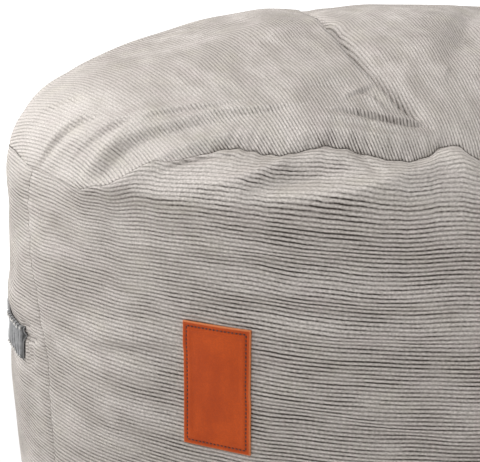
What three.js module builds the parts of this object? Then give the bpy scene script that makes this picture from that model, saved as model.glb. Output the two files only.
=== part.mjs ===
// A bean bag footstool: a stout round bag of corduroy with a domed crown, a leather patch on the
// front and a webbing grab handle on the left side.
//
// Millimetres, +Z up, the front faces -Y. The origin is the middle of the base, on the floor.
// Azimuths are degrees round the axis: 0 is the front, negative is the left side (-X).

import * as THREE from "three";
import { ParametricGeometry } from "three/addons/geometries/ParametricGeometry.js";
import { mergeVertices } from "three/addons/utils/BufferGeometryUtils.js";

// Driving dimensions of the filled bag.
const FULL_RADIUS = 330;
const FULLEST_HEIGHT = 303; // where the wall stands furthest out
const WALL_DRAW = 5.6; // how far the wall draws in above and below that
const WALL_SWING = 260; // over this much height
const CROWN_HEIGHT = 508;
const SHOULDER_HEIGHT = 367; // the wall ends and the dome begins
const DOME_POWER = 2.95; // over 2 is flatter on top and rounder at the shoulder
const FOOT_HEIGHT = 82; // the wall ends and the rounded foot begins
const FOOT_POWER = 2.1;
const BASE_RADIUS = 256; // the flat that rests on the floor

// Seams: a narrow groove where the cloth is pulled in.
const SEAM_HALF_WIDTH = 8;
const SIDE_SEAM_DEPTH = 2.5;
const SIDE_SEAM_HALF_WIDTH = 8;
const FOOT_SEAM_HEIGHT = 38;
const FOOT_SEAM_WAVE = 3;
const FOOT_SEAM_DEPTH = 4;

// Leather patch and grab handle, with the clearance that each keeps from the bag.
const PATCH = { azimuth: -20.6, width: 48, bottom: 248, top: 329, thickness: 2, clearance: 0.4 };
const HANDLE = { azimuth: -79.6, width: 244, bottom: 255, top: 280, thickness: 2, clearance: 0.9 };

// The top seam rises and sags between the folds that it gathers, and bites in where it is taut.
// Columns: azimuth, height, depth of its groove.
const TOP_SEAM = [
  [-54.9, 403, 1.5],
  [-47.4, 402, 1.5],
  [-40.6, 400, 1.5],
  [-36, 405, 1.5],
  [-28.9, 424, 1.5],
  [-20.5, 438, 3],
  [-14.7, 435, 4],
  [-9.5, 441, 3.5],
  [0, 434, 4],
  [4.5, 443, 4],
  [8, 434, 4],
  [14, 441, 3],
  [24, 433, 4],
  [33, 439, 3],
  [46, 428, 4],
  [58, 433, 3],
  [72, 419, 3],
  [88, 425, 4],
  [104, 412, 3],
  [121, 422, 4],
  [137, 417, 3],
  [151, 431, 3],
  [166, 426, 4],
  [180, 438, 3],
  [193, 430, 4],
  [208, 437, 3],
  [222, 424, 3],
  [237, 428, 4],
  [252, 411, 3],
  [268, 415, 3],
  [284, 404, 2],
  [296, 408, 1.5],
];

// The two upright seams between the front and the back side panel lean a little.
// Columns: height, azimuth of the left seam.
const SIDE_SEAM = [
  [0, -48],
  [192, -49.6],
  [255, -51.1],
  [303, -52.8],
  [343, -54.9],
  [379, -55.7],
  [420, -54.5],
];
const SIDE_SEAM_TURN = 178; // the right seam, on from the left one

// Folds of the crown. Widths: how far a fold reaches on the left and on the right of its line's
// direction. Step: half the width over which its two sides meet.
// Columns of a point: x, y, height on the left, height on the right.
const CROWN_FOLDS = [
  // the deep diagonal crease: the cloth on its right rolls over, the other side rises gently
  {
    widths: [20, 18],
    step: 10,
    points: [
      [-112, 70, 0, 0],
      [-92, 0, -2, -1],
      [-76, -75, -6, -2],
      [-58, -150, -8, -3],
      [-36, -222, -10, -4],
      [-12, -267, -10, -4],
      [2, -284, -4, -2],
    ],
  },
  // the tuck across its lower end, and the roll in front of the tuck
  {
    widths: [7, 9],
    step: 3,
    points: [[-48, -275, 0, 0], [-26, -280, -2, -5], [-6, -286, -2, -5], [14, -291, 0, 0]],
  },
  { widths: [9, 9], step: 3, points: [[-66, -285, 1, 1], [-37, -289, 3, 3], [0, -298, 2, 2]] },
  // the small fold between tuck and crease
  { widths: [8, 8], step: 3, points: [[-44, -268, 0, 0], [-34, -259, 3, 1], [-22, -251, 2, 1]] },
  // the rounded side of the crease
  {
    widths: [34, 30],
    step: 6,
    points: [[-126, 20, 3, 3], [-114, -60, 4, 4], [-96, -150, 4, 4], [-66, -228, 2, 2]],
  },
  // a pleat that ends on the crown
  {
    widths: [9, 11],
    step: 5,
    points: [[-166, -242, 1, -1], [-140, -248, 2, -2], [-104, -258, 2, -2], [-74, -268, 0, 0]],
  },
  // the shallow valley at the right of the crown
  {
    widths: [24, 16],
    step: 5,
    points: [[50, 40, -1, -1], [40, -45, -4, -4], [31, -139, -5, -5], [22, -210, -2, -2]],
  },
  // the right and the back, which gather the same way
  {
    widths: [14, 22],
    step: 4,
    points: [[96, -262, -2, -2], [118, -205, -6, -6], [132, -120, -5, -5], [128, -40, -2, -2]],
  },
  { widths: [15, 12], step: 4, points: [[150, -246, -3, -3], [176, -208, -6, -6], [214, -176, -3, -3]] },
  {
    widths: [24, 13],
    step: 4,
    points: [[268, -92, -3, -3], [222, -52, -7, -5], [150, -6, -6, -4], [92, 22, -2, -2]],
  },
  { widths: [14, 16], step: 4, points: [[286, 40, -3, -3], [240, 58, -6, -6], [196, 92, -3, -3]] },
  {
    widths: [13, 20],
    step: 4,
    points: [[206, 204, -3, -3], [160, 166, -5, -8], [98, 140, -3, -7], [40, 132, -2, -2]],
  },
  { widths: [16, 14], step: 4, points: [[96, 272, -3, -3], [80, 226, -6, -6], [52, 186, -3, -3]] },
  { widths: [20, 12], step: 4, points: [[-42, 286, -3, -3], [-30, 220, -8, -5], [-44, 150, -5, -3]] },
  {
    widths: [14, 18],
    step: 4,
    points: [[-168, 232, -3, -3], [-134, 190, -5, -7], [-104, 122, -3, -6], [-92, 70, -2, -2]],
  },
  { widths: [15, 15], step: 4, points: [[-262, 110, -3, -3], [-218, 92, -6, -6], [-170, 96, -3, -3]] },
  { widths: [18, 14], step: 4, points: [[-284, -30, -2, -2], [-236, -26, -4, -4], [-186, -46, -1, -1]] },
];

// The same for the shoulder and the side.
// Columns of a point: azimuth, height above the floor, fold height on the left, on the right.
const SIDE_FOLDS = [
  // pleats that fan over the left shoulder, each lapped over the next
  {
    widths: [12, 10],
    step: 5,
    points: [[-53.4, 402, 0, 0], [-51, 424, 2, -2.5], [-48, 440, 2, -2.5], [-41, 443, 0, 0]],
  },
  { widths: [9, 9], step: 4, points: [[-50, 410, 1, 1], [-44.2, 435, 2.5, 2.5], [-37.4, 451, 1.5, 1.5]] },
  {
    widths: [9, 10],
    step: 4,
    points: [[-40.2, 405, 2, 2], [-38.2, 426, 3, 3], [-35.2, 450, 2.5, 2.5], [-24, 459, 0, 0]],
  },
  {
    widths: [14, 12],
    step: 7,
    points: [
      [-37.6, 408, 0, 0],
      [-36.4, 424, 2, -3],
      [-33.6, 439.5, 2.4, -4],
      [-27, 451, 2, -3],
      [-18.5, 455, 0, 0],
    ],
  },
  // the roll along the seam
  {
    widths: [8, 9],
    step: 4,
    points: [[-38.6, 400, 2, 2], [-32.8, 412, 4, 4], [-27.6, 433, 3, 3], [-19, 446, 1, 1]],
  },
  // ridges that fan down and to the left from the pinches of the top seam
  {
    widths: [9, 9],
    step: 4,
    points: [[-12.4, 436, 1, 1], [-15.8, 424, 4, 4], [-18, 419, 3, 3], [-26, 413, 0, 0]],
  },
  {
    widths: [11, 10],
    step: 4,
    points: [
      [3, 438, 1, 1],
      [0, 427, 4, 4],
      [-4.5, 417, 4, 4],
      [-10, 413, 3, 3],
      [-18, 411, 0, 0],
    ],
  },
  {
    widths: [10, 11],
    step: 4,
    points: [[4.4, 439, 2, 2], [7, 429, 4, 4], [9.5, 420, 4, 4], [14, 408, 1, 1]],
  },
  // the hollow between them
  { widths: [9, 9], step: 4, points: [[-7, 427, -1, -1], [-11, 422, -2.5, -2.5], [-16, 416, -1.5, -1.5]] },
  // the soft shelf where the wall turns down below the shoulder
  {
    widths: [26, 18],
    step: 8,
    points: [
      [-46, 394, 0, 0],
      [-36, 399, 3, 3],
      [-21, 400, 3.5, 3.5],
      [-6, 405, 3, 3],
      [3, 412, 2.5, 2.5],
      [14, 405, 3.5, 3.5],
      [26, 394, 3, 3],
      [38, 386, 0, 0],
    ],
  },
  {
    widths: [18, 18],
    step: 8,
    points: [[0, 392, 0, 0], [-12, 397, -1.5, 0.5], [-29, 399, -1.5, 0.5], [-41, 398, 0, 0]],
  },
  // slack bands across the front
  {
    widths: [15, 15],
    step: 6,
    points: [[4, 384, 0, 0], [-3, 383, -1.5, 1.5], [-19, 375, -1.5, 1.5], [-26, 372, 0, 0]],
  },
  {
    widths: [15, 15],
    step: 6,
    points: [[9, 351, 0, 0], [-1, 350, -1.5, 1.5], [-17, 347, -1.5, 1.5], [-24, 345, 0, 0]],
  },
  { widths: [18, 18], step: 5, points: [[-40, 210, -1, -1], [-28, 200, -2.5, -2.5], [-14, 206, -1, -1]] },
  // the left side bulges over the handle, is drawn in under it and puckers at its sewn end
  {
    widths: [9, 11],
    step: 4,
    points: [[-57, 293, 1, 1], [-66, 291, 3, 3], [-88, 291, 3, 3], [-101, 293, 1, 1]],
  },
  {
    widths: [16, 16],
    step: 4,
    points: [[-57, 267, 0, 0], [-63, 267, -3, -3], [-96, 267, -3, -3], [-102, 267, 0, 0]],
  },
  { widths: [7, 7], step: 3, points: [[-56, 258, -2, -2], [-56, 272, -3, -3], [-54, 280, -1, -1]] },
  // the right side and the back, gathered the same way
  { widths: [10, 10], step: 4, points: [[24, 426, 3, 3], [20, 414, 5, 5], [17, 398, 2, 2]] },
  { widths: [12, 12], step: 4, points: [[38, 428, -3, -3], [41, 408, -5, -5], [47, 384, -2, -2]] },
  { widths: [11, 11], step: 4, points: [[58, 424, 3, 3], [54, 408, 5, 5], [52, 386, 2, 2]] },
  { widths: [12, 14], step: 4, points: [[72, 408, -3, -3], [76, 390, -5, -5], [84, 370, -2, -2]] },
  { widths: [10, 12], step: 4, points: [[96, 412, 3, 3], [101, 396, 5, 5], [106, 374, 2, 2]] },
  { widths: [12, 12], step: 4, points: [[112, 404, -3, -3], [116, 386, -4, -4], [113, 362, -2, -2]] },
  { widths: [11, 12], step: 4, points: [[134, 408, 3, 3], [139, 392, 5, 5], [147, 372, 2, 2]] },
  { widths: [12, 14], step: 4, points: [[150, 422, -3, -3], [155, 402, -4, -4], [160, 376, -2, -2]] },
  { widths: [11, 11], step: 4, points: [[172, 424, 3, 3], [168, 408, 5, 5], [165, 384, 2, 2]] },
  { widths: [12, 13], step: 4, points: [[192, 420, -3, -3], [197, 400, -4, -4], [205, 378, -2, -2]] },
  { widths: [11, 11], step: 4, points: [[214, 424, 3, 3], [211, 406, 5, 5], [207, 382, 2, 2]] },
  { widths: [12, 13], step: 4, points: [[232, 414, -3, -3], [236, 398, -4, -4], [242, 372, -2, -2]] },
  { widths: [11, 12], step: 4, points: [[256, 404, 3, 3], [259, 388, 4, 4], [264, 362, 2, 2]] },
  { widths: [12, 14], step: 4, points: [[276, 398, -3, -3], [281, 380, -4, -4], [288, 358, -2, -2]] },
  { widths: [20, 22], step: 5, points: [[60, 250, -1, -1], [84, 238, -3, -3], [104, 246, -1, -1]] },
  { widths: [22, 20], step: 5, points: [[150, 270, -1, -1], [176, 258, -3, -3], [204, 266, -1, -1]] },
  { widths: [20, 18], step: 5, points: [[196, 190, -1, -1], [224, 176, -3, -3], [250, 184, -1, -1]] },
];

// Folds and seams die away this far before the flat base.
const FOOT_FADE = 30;

// Past what stands square, the bag is a little out of round.
// Columns: lobes round the axis, size, azimuth of the first lobe.
const OUT_OF_ROUND = [
  [2, 4, 128],
  [5, 2.2, 96],
  [3, 2.6, 205],
];
const ROUND_FROM = -84; // between these two azimuths the bag is a true round
const ROUND_TO = 12;
const ROUND_BLEND = 40;

// How finely the bag is divided: closer round the front left, and closer at the seams.
const FINE_FROM = -75;
const FINE_TO = 15;
const FINE_COLUMNS = 50;
const COARSE_COLUMNS = 75;
const CROWN_ROWS = [
  0, 0.1, 0.2, 0.3, 0.39, 0.47, 0.55, 0.62, 0.68, 0.73, 0.77, 0.81, 0.84, 0.87, 0.895, 0.92, 0.945,
  0.965, 0.985,
];
const SIDE_ROWS = [
  0, 0.014, 0.034, 0.06, 0.09, 0.125, 0.17, 0.22, 0.265, 0.3, 0.335, 0.37, 0.41, 0.46, 0.54, 0.63,
  0.72, 0.8, 0.87, 0.92, 0.955, 0.98,
];
const FOOT_ROWS = 3;
const BASE_ROWS = 2;

const { cos, sin, exp, hypot, max, min, sign, PI } = Math;
const radians = THREE.MathUtils.degToRad;
const smooth = THREE.MathUtils.smoothstep;

// ---- the bag's outline, from the crown's middle to the base's middle ----

function wallRadius(height) {
  const swing = cos((PI * (height - FULLEST_HEIGHT)) / WALL_SWING);
  return FULL_RADIUS - (WALL_DRAW / 2) * (1 - swing);
}

function domePoint(turn) {
  const radius = wallRadius(SHOULDER_HEIGHT) * sin(turn);
  const rise = (CROWN_HEIGHT - SHOULDER_HEIGHT) * cos(turn) ** (2 / DOME_POWER);
  return new THREE.Vector2(radius, SHOULDER_HEIGHT + rise);
}

function footPoint(turn) {
  const reach = (wallRadius(FOOT_HEIGHT) - BASE_RADIUS) * cos(turn) ** (2 / FOOT_POWER);
  const height = FOOT_HEIGHT * (1 - sin(turn) ** (2 / FOOT_POWER));
  return new THREE.Vector2(BASE_RADIUS + reach, height);
}

// The outline as many short steps, with how far along it each one lies.
function makeOutline() {
  const steps = 400;
  const points = [];
  for (let i = 0; i < steps; i++) points.push(domePoint(((i / steps) * PI) / 2));
  for (let i = 0; i < steps; i++) {
    const height = SHOULDER_HEIGHT + ((FOOT_HEIGHT - SHOULDER_HEIGHT) * i) / steps;
    points.push(new THREE.Vector2(wallRadius(height), height));
  }
  for (let i = 0; i <= steps; i++) points.push(footPoint(((i / steps) * PI) / 2));
  const baseEdge = points.length - 1;
  points.push(new THREE.Vector2(0, 0));
  const along = [0];
  for (let i = 1; i < points.length; i++) {
    along.push(along[i - 1] + points[i].distanceTo(points[i - 1]));
  }
  return { points, along, baseEdge: along[baseEdge], end: along[along.length - 1] };
}

const OUTLINE = makeOutline();

// The place on the outline at a distance from the crown's middle, and the way out from it.
function outlineAt(distance) {
  const { points, along } = OUTLINE;
  let low = 0;
  let high = along.length - 1;
  while (high - low > 1) {
    const middle = (low + high) >> 1;
    if (along[middle] <= distance) low = middle;
    else high = middle;
  }
  const share = (distance - along[low]) / (along[high] - along[low]);
  const place = points[low].clone().lerp(points[high], share);
  const step = points[high].clone().sub(points[low]).normalize();
  return { place, out: new THREE.Vector2(-step.y, step.x) };
}

// How far along the outline a height is reached, above the flat base.
function distanceAtHeight(height) {
  const { points, along } = OUTLINE;
  let i = 1;
  while (points[i].y > height) i++;
  const share = (points[i - 1].y - height) / (points[i - 1].y - points[i].y);
  return along[i - 1] + share * (along[i] - along[i - 1]);
}

// How far along the outline a radius is reached, on the crown.
function distanceAtCrownRadius(radius) {
  const { points, along } = OUTLINE;
  let i = 1;
  while (points[i].x < radius) i++;
  const share = (radius - points[i - 1].x) / (points[i].x - points[i - 1].x);
  return along[i - 1] + share * (along[i] - along[i - 1]);
}

// ---- seams ----

// Eased steps down one column of a table, whose first column is the place.
function easedTable(rows, column, at) {
  if (at <= rows[0][0]) return rows[0][column];
  for (let i = 1; i < rows.length; i++) {
    const start = rows[i - 1];
    const end = rows[i];
    if (at <= end[0]) {
      return start[column] + (end[column] - start[column]) * smooth(at, start[0], end[0]);
    }
  }
  return rows[rows.length - 1][column];
}

const [SEAM_START, ...SEAM_START_VALUES] = TOP_SEAM[0];
const TOP_SEAM_ROUND = [...TOP_SEAM, [SEAM_START + 360, ...SEAM_START_VALUES]];

function topSeam(azimuth) {
  const at = SEAM_START + THREE.MathUtils.euclideanModulo(azimuth - SEAM_START, 360);
  return {
    distance: distanceAtHeight(easedTable(TOP_SEAM_ROUND, 1, at)),
    depth: easedTable(TOP_SEAM_ROUND, 2, at),
  };
}

function footSeamDistance(azimuth) {
  const wave = sin(radians(5 * azimuth)) + 0.6 * sin(radians(11 * azimuth + 40));
  return distanceAtHeight(FOOT_SEAM_HEIGHT + FOOT_SEAM_WAVE * wave);
}

function groove(offset, depth, halfWidth) {
  return -depth * exp(-((offset / halfWidth) ** 2));
}

function turnBetween(azimuth, other) {
  return THREE.MathUtils.euclideanModulo(azimuth - other + 180, 360) - 180;
}

function sideSeamGroove(azimuth, place) {
  const left = easedTable(SIDE_SEAM, 1, place.y);
  let sum = 0;
  for (const seam of [left, left + SIDE_SEAM_TURN]) {
    const offset = radians(turnBetween(azimuth, seam)) * place.x;
    sum += groove(offset, SIDE_SEAM_DEPTH, SIDE_SEAM_HALF_WIDTH);
  }
  return sum;
}

// ---- folds ----

function onBag(azimuth, distance) {
  const { place, out } = outlineAt(distance);
  const angle = radians(azimuth);
  return {
    point: new THREE.Vector3(place.x * sin(angle), -place.x * cos(angle), place.y),
    normal: new THREE.Vector3(out.x * sin(angle), -out.x * cos(angle), out.y),
    place,
  };
}

function crownLine([x, y, left, right]) {
  const azimuth = THREE.MathUtils.radToDeg(Math.atan2(x, -y));
  return { at: onBag(azimuth, distanceAtCrownRadius(hypot(x, y))).point, left, right };
}

function sideLine([azimuth, level, left, right]) {
  return { at: onBag(azimuth, distanceAtHeight(level)).point, left, right };
}

const FOLDS = [
  ...CROWN_FOLDS.map((fold) => ({ ...fold, line: fold.points.map(crownLine) })),
  ...SIDE_FOLDS.map((fold) => ({ ...fold, line: fold.points.map(sideLine) })),
];

// What one fold adds at a point: its heights at the nearest place of its line, falling away on
// either side of it.
function foldHeight({ widths, step, line }, point, normal) {
  let nearest = Infinity;
  let side = 0;
  let left = 0;
  let right = 0;
  for (let i = 1; i < line.length; i++) {
    const start = line[i - 1];
    const stretch = line[i].at.clone().sub(start.at);
    const offset = point.clone().sub(start.at);
    const share = min(1, max(0, offset.dot(stretch) / stretch.lengthSq()));
    offset.addScaledVector(stretch, -share);
    const distance = offset.length();
    if (distance < nearest) {
      nearest = distance;
      side = sign(stretch.cross(offset).dot(normal));
      left = start.left + (line[i].left - start.left) * share;
      right = start.right + (line[i].right - start.right) * share;
    }
  }
  const leftness = smooth(side * nearest, -step, step);
  const onLeft = left * exp(-((nearest / widths[0]) ** 2));
  const onRight = right * exp(-((nearest / widths[1]) ** 2));
  return leftness * onLeft + (1 - leftness) * onRight;
}

function outOfRound(azimuth) {
  const middle = (ROUND_FROM + ROUND_TO) / 2;
  const half = (ROUND_TO - ROUND_FROM) / 2;
  const away = Math.abs(turnBetween(azimuth, middle));
  const share = smooth(away, half, half + ROUND_BLEND);
  let sum = 0;
  for (const [lobes, size, first] of OUT_OF_ROUND) {
    sum += size * cos(radians(lobes * (azimuth - first)));
  }
  return sum * share;
}

// A point of the bag's skin, and how far out of it another may stand.
function bagPoint(azimuth, distance, standOff = 0) {
  const { point, normal, place } = onBag(azimuth, distance);
  if (distance >= OUTLINE.baseEdge) return point;
  const seam = topSeam(azimuth);
  let rise = groove(distance - seam.distance, seam.depth, SEAM_HALF_WIDTH);
  rise += groove(distance - footSeamDistance(azimuth), FOOT_SEAM_DEPTH, SEAM_HALF_WIDTH);
  if (distance > seam.distance) rise += sideSeamGroove(azimuth, place);
  for (const fold of FOLDS) rise += foldHeight(fold, point, normal);
  // all of it dies away towards the flat base
  rise *= smooth(OUTLINE.baseEdge - distance, 0, FOOT_FADE);
  const swell = outOfRound(azimuth) * sin(min(1, place.y / CROWN_HEIGHT) * PI) ** 0.7;
  const angle = radians(azimuth);
  point.x += swell * sin(angle);
  point.y -= swell * cos(angle);
  return point.addScaledVector(normal, rise + standOff);
}

// ---- solids ----

// One closed body: points merged by place, and faces that shrank to nothing dropped.
function closed(geometry) {
  geometry.deleteAttribute("normal");
  geometry.deleteAttribute("uv");
  const merged = mergeVertices(geometry, 1e-3);
  const faces = [];
  for (let i = 0; i < merged.index.count; i += 3) {
    const [a, b, c] = merged.index.array.slice(i, i + 3);
    if (a !== b && b !== c && c !== a) faces.push(a, b, c);
  }
  merged.setIndex(faces);
  merged.computeVertexNormals();
  return merged;
}

function columnAzimuth(column) {
  if (column <= FINE_COLUMNS) return FINE_FROM + ((FINE_TO - FINE_FROM) * column) / FINE_COLUMNS;
  return FINE_TO + ((360 - FINE_TO + FINE_FROM) * (column - FINE_COLUMNS)) / COARSE_COLUMNS;
}

function rowDistance(row, azimuth) {
  const top = topSeam(azimuth).distance;
  const foot = footSeamDistance(azimuth);
  if (row < CROWN_ROWS.length) return top * CROWN_ROWS[row];
  const sideRow = row - CROWN_ROWS.length;
  if (sideRow < SIDE_ROWS.length) return top + (foot - top) * SIDE_ROWS[sideRow];
  const baseRow = sideRow - SIDE_ROWS.length;
  const { baseEdge, end } = OUTLINE;
  if (baseRow <= FOOT_ROWS) return foot + ((baseEdge - foot) * baseRow) / FOOT_ROWS;
  return baseEdge + ((end - baseEdge) * (baseRow - FOOT_ROWS)) / BASE_ROWS;
}

function filledBag() {
  const columns = FINE_COLUMNS + COARSE_COLUMNS;
  const rows = CROWN_ROWS.length + SIDE_ROWS.length + FOOT_ROWS + BASE_ROWS;
  const skin = new ParametricGeometry(
    (u, v, target) => {
      const column = Math.round(u * columns) % columns;
      const azimuth = columnAzimuth(column);
      target.copy(bagPoint(azimuth, rowDistance(Math.round((1 - v) * rows), azimuth)));
    },
    columns,
    rows,
  );
  return closed(skin);
}

// A thin piece sewn flat to the side: a box bent round the bag.
function sewnOn({ azimuth, width, bottom, top, thickness, clearance }, columns, rows) {
  const box = new THREE.BoxGeometry(width, top - bottom, thickness, columns, rows, 1);
  const place = box.getAttribute("position");
  const middle = (bottom + top) / 2;
  for (let i = 0; i < place.count; i++) {
    const turn = azimuth + THREE.MathUtils.radToDeg(place.getX(i) / FULL_RADIUS);
    const distance = distanceAtHeight(middle + place.getY(i));
    const standOff = clearance + thickness / 2 + place.getZ(i);
    place.setXYZ(i, ...bagPoint(turn, distance, standOff).toArray());
  }
  return closed(box);
}

function mesh(name, geometry, color, roughness) {
  const made = new THREE.Mesh(
    geometry,
    new THREE.MeshStandardMaterial({ color, roughness, metalness: 0 }),
  );
  made.name = name;
  return made;
}

const group = new THREE.Group();
group.add(mesh("filled_bag", filledBag(), 0xbeb4ac, 0.95));
group.add(mesh("label_patch", sewnOn(PATCH, 8, 10), 0xc24a22, 0.6));
group.add(mesh("grab_handle", sewnOn(HANDLE, 40, 3), 0x8e8e90, 0.85));

export default group;
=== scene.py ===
"""A bean bag footstool in brushed corduroy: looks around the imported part.

The bag's own sizes are in millimetres, as its maker would write them, and are scaled to metres
where meshes are made. Azimuths are degrees round the axis: 0 is the front (-Y), negative is the
left side. A distance runs along the bag's outline from the middle of the crown, down over the
shoulder and the wall to the middle of the base.
"""

import math

import bpy
import numpy as np
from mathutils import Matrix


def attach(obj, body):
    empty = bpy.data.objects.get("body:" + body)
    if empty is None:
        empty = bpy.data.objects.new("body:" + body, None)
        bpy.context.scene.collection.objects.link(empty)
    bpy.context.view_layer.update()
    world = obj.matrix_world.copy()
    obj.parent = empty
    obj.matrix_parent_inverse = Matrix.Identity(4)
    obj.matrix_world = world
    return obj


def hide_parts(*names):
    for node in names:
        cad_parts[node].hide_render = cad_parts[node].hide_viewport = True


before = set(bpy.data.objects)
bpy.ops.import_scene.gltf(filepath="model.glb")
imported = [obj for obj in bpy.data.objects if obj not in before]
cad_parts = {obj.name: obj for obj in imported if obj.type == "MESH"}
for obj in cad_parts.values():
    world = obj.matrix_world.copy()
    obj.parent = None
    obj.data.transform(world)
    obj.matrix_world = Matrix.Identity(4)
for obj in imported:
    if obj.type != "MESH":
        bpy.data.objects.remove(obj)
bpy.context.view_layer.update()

MM = 0.001

# ---- the bag's sizes, as in the part ----

FULL_RADIUS = 330.0
FULLEST_HEIGHT = 303.0
WALL_DRAW = 5.6  # how much less the radius is a swing above or below the fullest height
WALL_SWING = 260.0
CROWN_HEIGHT = 508.0
SHOULDER_HEIGHT = 367.0
DOME_POWER = 2.95
FOOT_HEIGHT = 82.0
FOOT_POWER = 2.1
BASE_RADIUS = 256.0

SEAM_HALF_WIDTH = 8.0
SIDE_SEAM_DEPTH = 2.5
SIDE_SEAM_HALF_WIDTH = 8.0
FOOT_SEAM_HEIGHT = 38.0
FOOT_SEAM_WAVE = 3.0
FOOT_SEAM_WAVES = [(5, 1.0, 0), (11, 0.6, 40)]  # how many round the bag, size, start in degrees
FOOT_SEAM_DEPTH = 4.0
FOOT_FADE = 30.0  # seams and folds fade out over this distance before the flat of the base

# The sewn-on pieces: azimuth of the middle, width, heights of the edges, and the gap under them.
PATCH = dict(azimuth=-20.6, width=48.0, bottom=248.0, top=329.0, thickness=2.0, clearance=0.4)
HANDLE = dict(azimuth=-79.6, width=244.0, bottom=255.0, top=280.0, thickness=2.0, clearance=0.9)
PLEAT_PITCH = 6.5  # of the handle's gathered ends
GATHERED = (60.0, 42.0)  # how far from its ends the handle begins to be gathered, and is fully

# Places of the top seam: azimuth, height, depth of the groove.
TOP_SEAM = [
    (-54.9, 403, 1.5), (-47.4, 402, 1.5), (-40.6, 400, 1.5), (-36, 405, 1.5), (-28.9, 424, 1.5),
    (-20.5, 438, 3), (-14.7, 435, 4), (-9.5, 441, 3.5), (0, 434, 4), (4.5, 443, 4), (8, 434, 4),
    (14, 441, 3), (24, 433, 4), (33, 439, 3), (46, 428, 4), (58, 433, 3), (72, 419, 3),
    (88, 425, 4), (104, 412, 3), (121, 422, 4), (137, 417, 3), (151, 431, 3), (166, 426, 4),
    (180, 438, 3), (193, 430, 4), (208, 437, 3), (222, 424, 3), (237, 428, 4), (252, 411, 3),
    (268, 415, 3), (284, 404, 2), (296, 408, 1.5),
]

# Places of the left upright seam: height, azimuth. The right one is SIDE_SEAM_TURN further on.
SIDE_SEAM = [
    (0, -48), (192, -49.6), (255, -51.1), (303, -52.8), (343, -54.9), (379, -55.7), (420, -54.5),
]
SIDE_SEAM_TURN = 178.0

# Folds of the crown. First how far a fold reaches on the left and on the right of its line's
# direction, and half the width of the step between its two sides.
# Then the points of the line: x, y, height on the left, height on the right where it differs.
CROWN_FOLDS = [
    # the deep diagonal crease: a rolled lip over a narrow slot
    ((9, 9, 1.4), [(-112, 70, 0), (-99, 25, -1.5, 0), (-87, -28, -6, 0.6), (-76, -75, -12, 2),
        (-68, -110, -15, 3.5), (-58, -150, -14, 3.5), (-47, -187, -13, 3.5), (-36, -222, -12, 3.5),
        (-24, -247, -14, 3), (-12, -267, -15, 2), (-4, -278, -10, 0), (2, -284, -3, -1)]),
    ((24, 16, 2), [(-92, 50, -1), (-83, -28, -2, -1.5), (-60, -137, -2.5, -2), (-28, -232, -3.5, -2.5),
        (-6, -268, -3, -2.5)]),
    # the tuck across its lower end: the crown drops behind a low roll
    ((3.5, 5, 1.3), [(-52, -275, 0), (-44, -275.5, 0.6, -1.5), (-34, -278, 1, -3.2),
        (-22, -281, 1, -4.2), (-10, -284, 1, -4.4), (-1, -286, 0.6, -4), (7, -288, 0.2, -2.5),
        (15, -291, 0)]),
    ((4, 4, 1), [(-54, -280, 0.5), (-42, -282, 1.5), (-28, -285, 2), (-10, -291, 2), (2, -293, 1)]),
    ((6, 7, 2), [(-62, -291, 1), (-40, -293, 2), (-10, -299, 2), (4, -300, 1)]),
    # the small folds between tuck and crease
    ((4, 4, 1.5), [(-44, -268, 0), (-38, -262, 1.2, -1.2), (-32, -257, 1.5, -1.5),
        (-24, -252, 0.5, -0.5)]),
    ((4, 5, 1.5), [(-18, -274, 1, -1), (-24, -265, 1.8, -1.8), (-32, -260, 0.8, -0.8)]),
    ((6, 6, 2), [(-64, -251, -0.6), (-55, -250, -1.8), (-44, -253, -1.2)]),
    # the rounded side of the crease
    ((34, 30, 6), [(-126, 20, 3), (-114, -60, 4), (-96, -150, 4), (-66, -228, 1.5)]),
    # pleats that end on the crown
    ((5, 7, 2), [(-166, -242, 0.8, -0.8), (-147, -246, 1.4, -1.4), (-130, -250, 1.4, -1.4),
        (-104, -252, 0.3, -0.3)]),
    ((6, 8, 3), [(-124, -257, 1, -1), (-104, -263, 1.5, -2), (-88, -267, 1.5, -2),
        (-74, -268, 0.4, -0.6)]),
    # the shallow valley at the right of the crown
    ((20, 10, 4), [(50, 40, -1.5), (42, -45, -5), (33, -139, -6), (24, -210, -2)]),
    # the right and the back, which gather the same way
    ((10, 20, 2), [(96, -262, -2), (118, -205, -6), (132, -120, -5), (128, -40, -2)]),
    ((15, 9, 2), [(150, -246, -3), (176, -208, -6), (214, -176, -3)]),
    ((24, 10, 1.5), [(268, -92, -3), (222, -52, -7, -4), (150, -6, -6, -3), (92, 22, -2)]),
    ((12, 16, 2), [(286, 40, -3), (240, 58, -6), (196, 92, -3)]),
    ((9, 20, 1.5), [(206, 204, -3), (160, 166, -3, -8), (98, 140, -2, -7), (40, 132, -2)]),
    ((16, 10, 2), [(96, 272, -3), (80, 226, -6), (52, 186, -3)]),
    ((20, 9, 1.5), [(-42, 286, -3), (-30, 220, -8, -4), (-44, 150, -5, -3)]),
    ((10, 18, 1.5), [(-168, 232, -3), (-134, 190, -4, -7), (-104, 122, -3, -6), (-92, 70, -2)]),
    ((15, 10, 2), [(-262, 110, -3), (-218, 92, -6), (-170, 96, -3)]),
    ((18, 11, 2), [(-284, -30, -2), (-236, -26, -4), (-186, -46, -1)]),
]

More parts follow.
